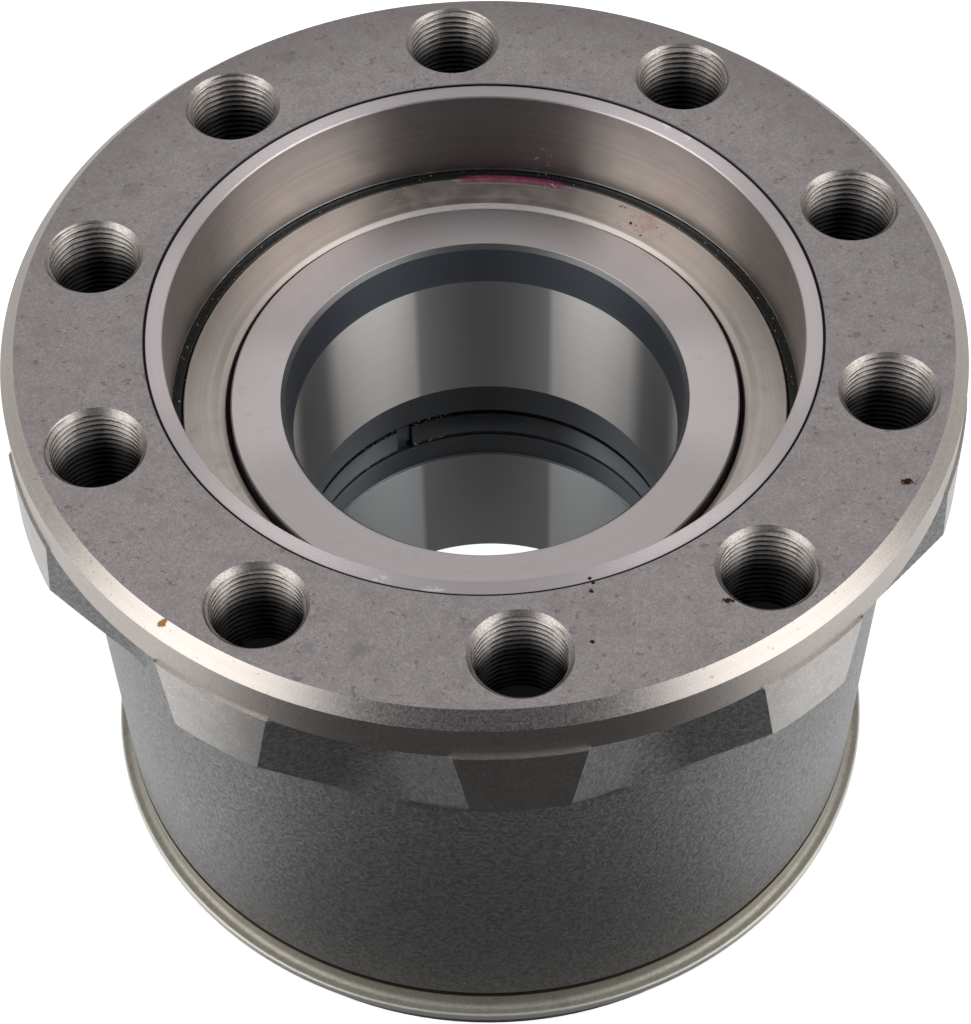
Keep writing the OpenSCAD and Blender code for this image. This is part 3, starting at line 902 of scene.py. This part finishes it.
def cast_iron():
    """Rough cast skin, with sand grain, lumps, a few scratches and a dark band along its lower edge, at the
    seam with the deflector ring.
    """
    n = Paint("cast_iron")
    grain = n.noise(1000, 6, 0.8)
    lumps = n.noise(330, 2, 0.5)
    sparkle = n.noise(2100, 1, 0.5)
    color = n.mix(n.ramp(grain, 0.36, 0.64), plain(0.165), plain(0.375))
    color = n.mix(n.ramp(sparkle, 0.72, 0.79, 0, 0.8), color, plain(0.9))
    broken = n.ramp(n.noise(1700, 1), 0.6, 0.66)
    scratches = n.product(n.spot(84, -94.1, 1.8, 0.3), n.band(n.depth, 99.4, 102, 0.5), broken)
    nick = n.product(n.spot(84, -76.1, 0.4), n.band(n.depth, 100.2, 100.8, 0.2))
    color = n.mix(n.most(scratches, nick), color, plain(1.0))
    # Darker along the seam with the deflector ring
    color = n.mix(n.ramp(n.depth, BARREL_LOW - 0.7, BARREL_LOW - 0.2), color, SEAM_DARK)
    normal = n.bump(grain, 1.0, 0.5, under=n.bump(lumps, 0.4, 0.6))
    return n.finish(color, 0.31, normal, metallic=0.9)


def thread_iron():
    """Cut threads, with painted shade that darkens them down the hole."""
    n = Paint("thread_iron")
    grain = n.noise(2600, 2, 0.5)
    color = n.mix(n.ramp(grain, 0.3, 0.7), warm(0.28), warm(0.44))
    # Painted shade: darker with depth in the hole
    color = n.mix(n.ramp(n.depth, 1, 13), color, plain(0.02))
    return n.finish(color, 0.4)


def ring_steel():
    """Ground face, raceway and ribs of an inner ring, with painted highlights on its left and right."""
    n = Paint("ring_steel")
    grain = n.noise(2600, 2, 0.5)
    marks = n.noise(2200, 2, 0.5, where=n.rings)
    stains = n.noise(260, 2, 0.5)
    color = n.mix(n.ramp(marks, 0.35, 0.65), pinkish(0.62), pinkish(0.65))
    # Painted highlights: lighter on the left and right
    color = n.mix(n.both_sides(), color, pinkish(0.8))
    color = n.mix(n.ramp(stains, 0.6, 0.75, 0, 0.2), color, pinkish(0.5))
    n.lathe(0.6)
    return n.finish(color, n.ramp(grain, 0.3, 0.7, 0.3, 0.33))


def bore_steel():
    """Ground bore, with painted shade for its reflections: a dark strip on its far side and dark bands well
    round to its left and right.
    """
    n = Paint("bore_steel")
    marks = n.noise(1500, 2, 0.5, where=n.rings)
    color = n.mix(n.ramp(marks, 0.35, 0.65), buff(0.93), buff(0.97))
    color = n.mix(n.ramp(n.depth, RING_END - 1.8, RING_END + 2.2), color, INBOARD_BORE)
    # Painted shade: a dark strip on the far side, darker deeper down
    far_shade = n.mix(n.ramp(n.depth, RING_END - 1.8, RING_END + 14.2), plain(0.58), plain(0.46))
    color = n.mix(n.far_side(22.8, 20.2), color, far_shade)
    # Painted shade: dark bands well round to the left and right
    color = n.mix(n.less(n.far_side(86, 74), n.far_side(60, 50)), color, plain(0.48))
    n.lathe(1.0)
    return n.finish(color, 0.36)


def dark_bore_steel(name, tint, level, roughness, far_shade=1.0):
    """Relief, lead-in and mouth of the bore. The relief is dark unground steel; the lead-in and mouth are
    painted dark for the dark they reflect. far_shade scales the colour on the far side, as painted shade.
    """
    n = Paint(name)
    marks = n.noise(1300, 2, 0.5, where=n.rings)
    color = n.mix(n.ramp(marks, 0.35, 0.65), tint(level * 0.95), tint(level * 1.05))
    # Painted shade: the colour is scaled by far_shade on the far side
    color = n.mix(n.far_side(52, 20), color, tint(level * far_shade))
    n.lathe(0.6)
    return n.finish(color, roughness)


def case_steel():
    """Pressed seal case, with a smear of assembly grease."""
    n = Paint("case_steel")
    marks = n.noise(2000, 2, 0.5, where=n.rings)
    stains = n.noise(300, 2, 0.5)
    color = n.mix(n.ramp(marks, 0.35, 0.65), warm(0.6), warm(0.66))
    color = n.mix(n.ramp(stains, 0.55, 0.75, 0, 0.3), color, warm(0.46))
    oil = n.product(n.spot(60.6, 54, 4.0, 0.3), n.ramp(n.noise(600, 3), 0.4, 0.6, 0, 0.6))
    color = n.mix(oil, color, PINK_OIL)
    specks = n.product(n.spot(60.5, 55, 8.0, 0.1), n.ramp(n.noise(900, 1), 0.68, 0.74))
    color = n.mix(specks, color, RUST)
    streak = n.spot(63.2, 83.5, 17.0, 0.02)
    tapered = n.less(n.r, n.ramp(streak, 0, 1, 2.0, 0))
    grease = n.product(streak, n.ramp(tapered, 61.3, 62.4, 0, 0.9))
    color = n.mix(grease, color, n.mix(n.ramp(n.noise(500, 3), 0.35, 0.65), DARK_GREASE, GREASE))
    dust = n.most(n.spot(62.3, 108.0, 3.4, 0.0), n.spot(62.3, 76.0, 2.2, 0.0))
    color = n.mix(n.product(dust, n.ramp(n.noise(2000, 1), 0.62, 0.68)), color, plain(1.0))
    n.lathe(0.6)
    return n.finish(color, n.ramp(stains, 0.35, 0.7, 0.3, 0.38), metallic=n.ramp(grease, 0.1, 0.9, 1, 0))


def blackened_steel():
    """Black spring steel, with a smear of the grease on the retaining ring and painted glints as light
    specks on its far side.
    """
    n = Paint("blackened_steel")
    oil = n.noise(900, 3, 0.6)
    grease = n.product(n.spot(64.5, 83.5, 13.5, 0.02), n.ramp(n.r, 64.8, 64.2))
    color = n.mix(grease, plain(0.008), GREASE)
    # Painted glints: light specks on the far side
    specks = n.ramp(n.noise(1800, 1), 0.74, 0.78)
    color = n.mix(n.product(n.far_side(150, 100), specks), color, plain(0.5))
    return n.finish(color, n.ramp(oil, 0.35, 0.65, 0.2, 0.3), metallic=0.0)


def clip_steel():
    """Clip ring, black along both of its edges with light drops near the split, and with painted shade on
    its far side.
    """
    n = Paint("clip_steel")
    upper = n.ramp(n.depth, RING_END - 2.9, RING_END - 3.3)
    lower = n.ramp(n.depth, RING_END + 3.0, RING_END + 3.4)
    edges = n.most(upper, lower)
    drops = n.product(n.spot(CLIP_R - CLIP_T, 120, 15, 0.1), n.ramp(n.noise(1900, 1), 0.62, 0.68))
    # Painted shade: much darker on the far side
    color = n.mix(n.far_side(42, 20), cool(0.55), cool(0.1))
    color = n.mix(edges, color, n.mix(drops, plain(0.01), plain(0.7)))
    n.lathe(0.6)
    return n.finish(color, 0.32)


def simple_material(name, color, roughness, metallic=1.0, lathe=0.0):
    """One colour, with a slight change of roughness."""
    n = Paint(name)
    grain = n.noise(1600, 3, 0.5)
    if lathe:
        n.lathe(lathe)
    return n.finish(color, n.ramp(grain, 0.3, 0.7, roughness * 0.85, roughness * 1.15), metallic=metallic)


def plated_steel():
    """Olive plating of the deflector ring, with a painted highlight along its lip's edge, and darker at the
    top of its collar, at the seam.
    """
    n = Paint("plated_steel")
    grain = n.noise(1700, 3, 0.6)
    stains = n.noise(160, 3, 0.6)
    color = n.mix(n.ramp(grain, 0.3, 0.7), DARK_OLIVE, OLIVE)
    color = n.mix(n.ramp(stains, 0.5, 0.75, 0, 0.4), color, STAINED_OLIVE)
    # Painted highlight: lighter along the lip's outer edge
    color = n.mix(n.ramp(n.r, LIP_R - 0.65, LIP_R - 0.15), color, LIP_HIGHLIGHT_OLIVE)
    color = n.mix(n.ramp(n.depth, BARREL_LOW + 0.7, BARREL_LOW + 0.3), color, SEAM_DARK)
    n.lathe(0.3)
    return n.finish(color, 0.6, n.bump(grain, 0.3, 0.06))


FACE = flange_iron("flange_iron", 0.46, 0.4, pinkish, 0.46, True)
BOSS_FACE = flange_iron("boss_face_iron", 0.56, 0.3, buff, 0.34, False)
EDGE = edge_iron()
LAND = land_iron()
RECESS = recess_iron()
CAST = cast_iron()
THREAD = thread_iron()
RING = ring_steel()
BORE = bore_steel()
# Mouth and lead-in are painted dark for the dark they reflect; the relief's far_shade is painted shade on
# its far side
MOUTH = dark_bore_steel("mouth_steel", plain, 0.2, 0.5)
LEAD_IN = dark_bore_steel("lead_in_steel", navy, 0.2, 0.42)
RELIEF = dark_bore_steel("relief_steel", cool, 0.44, 0.4, far_shade=0.3)
BLACK = blackened_steel()
CLIP_STEEL = clip_steel()
CASE = case_steel()
RUBBER = simple_material("seal_rubber", plain(0.012), 0.5, metallic=0.0)
PLATED = plated_steel()
TONE = simple_material("tone_steel", plain(0.33), 0.55)
STEEL = simple_material("bearing_steel", warm(0.6), 0.18, lathe=0.4)
CAGE = simple_material("cage_polymer", POLYMER, 0.45, metallic=0.0)


def dress(piece, body, materials, *nodes):
    """Gives a new piece its materials, lets it ride on its body, and hides the nodes that it stands for."""
    for material in materials:
        piece.data.materials.append(material)
    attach(piece, body)
    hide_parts(*nodes)


def share_out(piece, choose):
    """Gives each face the material that choose(radius, depth) picks, from arrays of the faces' middles."""
    middles = np.empty(len(piece.data.polygons) * 3)
    piece.data.polygons.foreach_get("center", middles)
    middles = middles.reshape(-1, 3) / MM
    picked = choose(np.hypot(middles[:, 0], middles[:, 1]), HUB_H - middles[:, 2])
    piece.data.polygons.foreach_set("material_index", picked.astype(np.int32))
    return piece


def ring_zones(r, depth):
    """0 for the ground steel, 1 for the seat, 2 for the lead-in, 3 for the relief and 4 for the mouth."""
    seat = r < BORE_R + 0.1
    wider = ~seat & (r < RING_MOUTH_R + 0.5)
    mouth_low = RING_FACE + RING_MOUTH_H + 0.05
    relief = (depth > RING_END - OUTBOARD_RELIEF - 1) & (depth < RING_END + INBOARD_RELIEF + 1)
    zones = np.where(seat, 1, 0)
    zones = np.where(wider & (depth > mouth_low) & (depth < RING_FACE + LEAD_END + 0.6), 2, zones)
    zones = np.where(wider & (depth > RING_FACE + 0.05) & (depth < mouth_low), 4, zones)
    return np.where(wider & relief, 3, zones)


dress(cast_skin(), "hub", [CAST, BOSS_FACE], "hub_casting")
dress(flange_face(), "hub", [FACE], "hub_casting")
dress(turned("hub_rim", RIM_OUTLINE, closed=False), "hub", [EDGE], "hub_casting")
bore = turned("hub_bore", BORE_OUTLINE, closed=False)
share_out(bore, lambda r, depth: np.where((depth < 0.5) & (r > RECESS_R + 0.1), 1, 0))
dress(bore, "hub", [RECESS, LAND], "hub_casting")
dress(threaded_holes(), "hub", [THREAD], "hub_casting")

snap_ring = turned("snap_ring", SNAP_OUTLINE, gap=(SNAP_GAP_ANGLE, SNAP_GAP))
dress(snap_ring, "hub", [BLACK], "retaining_ring")
dress(turned("outboard_case", CASE_OUTLINE), "hub", [CASE], "outboard_seal_case")
dress(turned("inboard_case", upside_down(CASE_OUTLINE)), "hub", [CASE], "inboard_seal_case")
dress(turned("deflector", DEFLECTOR_OUTLINE), "hub", [PLATED], "deflector_ring")
ring_materials = [RING, BORE, LEAD_IN, RELIEF, MOUTH]
outboard_ring = share_out(turned("outboard_ring", OUTBOARD_RING), ring_zones)
dress(outboard_ring, "inner_rings", ring_materials, "outboard_inner_ring")
inboard_ring = share_out(turned("inboard_ring", upside_down(INBOARD_RING)), ring_zones)
dress(inboard_ring, "inner_rings", ring_materials, "inboard_inner_ring")
clip = turned("clip", CLIP_OUTLINE, gap=(CLIP_GAP_ANGLE, CLIP_GAP))
dress(clip, "inner_rings", [CLIP_STEEL], "clip_ring")

for name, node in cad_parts.items():
    material = STEEL
    if "seal_lip" in name:
        material = RUBBER
    if "cage" in name:
        material = CAGE
    if name == "tone_ring":
        material = TONE
    node.data.materials.clear()
    node.data.materials.append(material)


# Camera, as solved from the photograph, with lengths in millimetres
VIEW_ELEVATION = math.radians(51.789)
VIEW_ROLL = math.radians(-0.995)
VIEW_DISTANCE = 691.2
LOOK_ASIDE = -0.315
LOOK_DEPTH = 63.03
LENS = 109.79


def add_camera():
    turn = Matrix.Rotation(VIEW_TURN, 3, "Z")
    right = turn @ Vector((1, 0, 0))
    back = turn @ Vector((0, -math.cos(VIEW_ELEVATION), math.sin(VIEW_ELEVATION)))
    up = back.cross(right)
    rolled_right = math.cos(VIEW_ROLL) * right + math.sin(VIEW_ROLL) * up
    rolled_up = -math.sin(VIEW_ROLL) * right + math.cos(VIEW_ROLL) * up
    target = right * LOOK_ASIDE * MM + Vector((0, 0, (HUB_H - LOOK_DEPTH) * MM))
    data = bpy.data.cameras.new("camera")
    data.lens = LENS
    camera = bpy.data.objects.new("camera", data)
    bpy.context.scene.collection.objects.link(camera)
    place = target + back * VIEW_DISTANCE * MM
    camera.matrix_world = Matrix.Translation(place) @ Matrix(
        (rolled_right, rolled_up, back)
    ).transposed().to_4x4()
    bpy.context.scene.camera = camera


# Brightness of the studio's walls, roof, two softboxes and opening behind the camera
TENT = 0.5
ROOF = 0.52
SOFTBOX = 2.3
BEHIND_CAMERA = 0.03

# Place of the right softbox in degrees, and half the floor's width in metres
SOFTBOX_AZIMUTH = 64
SOFTBOX_ELEVATION = 31
FLOOR_HALF = 4.0


def front_dark(n, front, aside, wide, narrow):
    """Share of the dark side of the studio, behind the camera: 1 straight in front of the hub."""
    cosine = n.math("DIVIDE", front, n.total(n.hypot(front, aside), 1e-5))
    return n.cone(cosine, wide, narrow)


def add_floor():
    """Pale floor: the camera sees it white, with the hub's shadow except right under the hub, where it glows
    brighter as painted light; reflections see it dim, and dimmer under the hub as painted shadow.
    """
    half = FLOOR_HALF
    corners = [(-half, -half, 0), (half, -half, 0), (half, half, 0), (-half, half, 0)]
    mesh = bpy.data.meshes.new("floor")
    mesh.from_pydata(corners, [], [(0, 1, 2, 3)])
    floor = bpy.data.objects.new("floor", mesh)
    bpy.context.scene.collection.objects.link(floor)
    n = Paint("white_floor")
    front = n.dot(n.where, tuple(studio_point(0, 0, 1)))
    aside = n.dot(n.where, tuple(studio_point(90, 0, 1)))
    dark = front_dark(n, front, aside, 64, 26)
    path = n.add("ShaderNodeLightPath")
    camera = path.outputs["Is Camera Ray"]
    n.finish(n.mix(camera, n.mix(dark, plain(0.8), plain(0.03)), plain(0.8)), 0.9, metallic=0.0)
    # Painted light: the glow the camera sees rises to white under the hub
    seen = n.product(camera, n.ramp(n.r, 65, 55, 0.7, 1.0))
    # Painted shadow: reflections see the floor dimmer under the hub
    dim = n.product(n.ramp(dark, 0, 1, 0.36, 0.01), n.ramp(n.r, 75, 95, 0.25, 1.0))
    mirrored = n.product(path.outputs["Is Glossy Ray"], dim)
    glow = n.add("ShaderNodeEmission")
    n.put(glow.inputs["Strength"], n.total(seen, mirrored))
    both = n.add("ShaderNodeAddShader")
    n.link(n.shader.outputs[0], both.inputs[0])
    n.link(glow.outputs[0], both.inputs[1])
    n.link(both.outputs[0], n.tree.nodes["Material Output"].inputs["Surface"])
    mesh.materials.append(n.material)


def add_world():
    """A light tent with two softboxes and a dark opening behind the camera. The camera sees it white."""
    world = bpy.data.worlds.new("studio")
    world.use_nodes = True
    n = Nodes(world.node_tree)
    way = n.add("ShaderNodeTexCoord").outputs["Generated"]
    front = n.dot(way, tuple(studio_point(0, 0, 1)))
    aside = n.dot(way, tuple(studio_point(90, 0, 1)))
    up = n.dot(way, (0, 0, 1))
    dark = n.product(front_dark(n, front, aside, 42, 32), n.ramp(up, 0.95, 0.75))
    # The tent is the same on both sides, so one softbox on the right stands for both
    box = studio_point(SOFTBOX_AZIMUTH, SOFTBOX_ELEVATION, 1)
    middle = (box.dot(studio_point(0, 0, 1)), box.dot(studio_point(90, 0, 1)), box.z)
    near = n.dot(n.vector(front, n.math("ABSOLUTE", aside), up), middle)
    tent = n.total(n.ramp(up, 0.35, 0.8, TENT, ROOF), n.cone(near, 30, 16, SOFTBOX))
    level = n.total(n.product(tent, n.less(1, dark)), n.product(dark, BEHIND_CAMERA))
    seen = n.add("ShaderNodeLightPath").outputs["Is Camera Ray"]
    unseen = n.less(1, seen)
    background = n.tree.nodes["Background"]
    n.put(background.inputs["Color"], n.mix(n.product(dark, unseen), plain(1.0), DIM_BLUE))
    n.put(background.inputs["Strength"], n.total(n.product(level, unseen), seen))
    bpy.context.scene.world = world


add_camera()
add_floor()
add_world()
bpy.context.scene.view_settings.view_transform = "Standard"
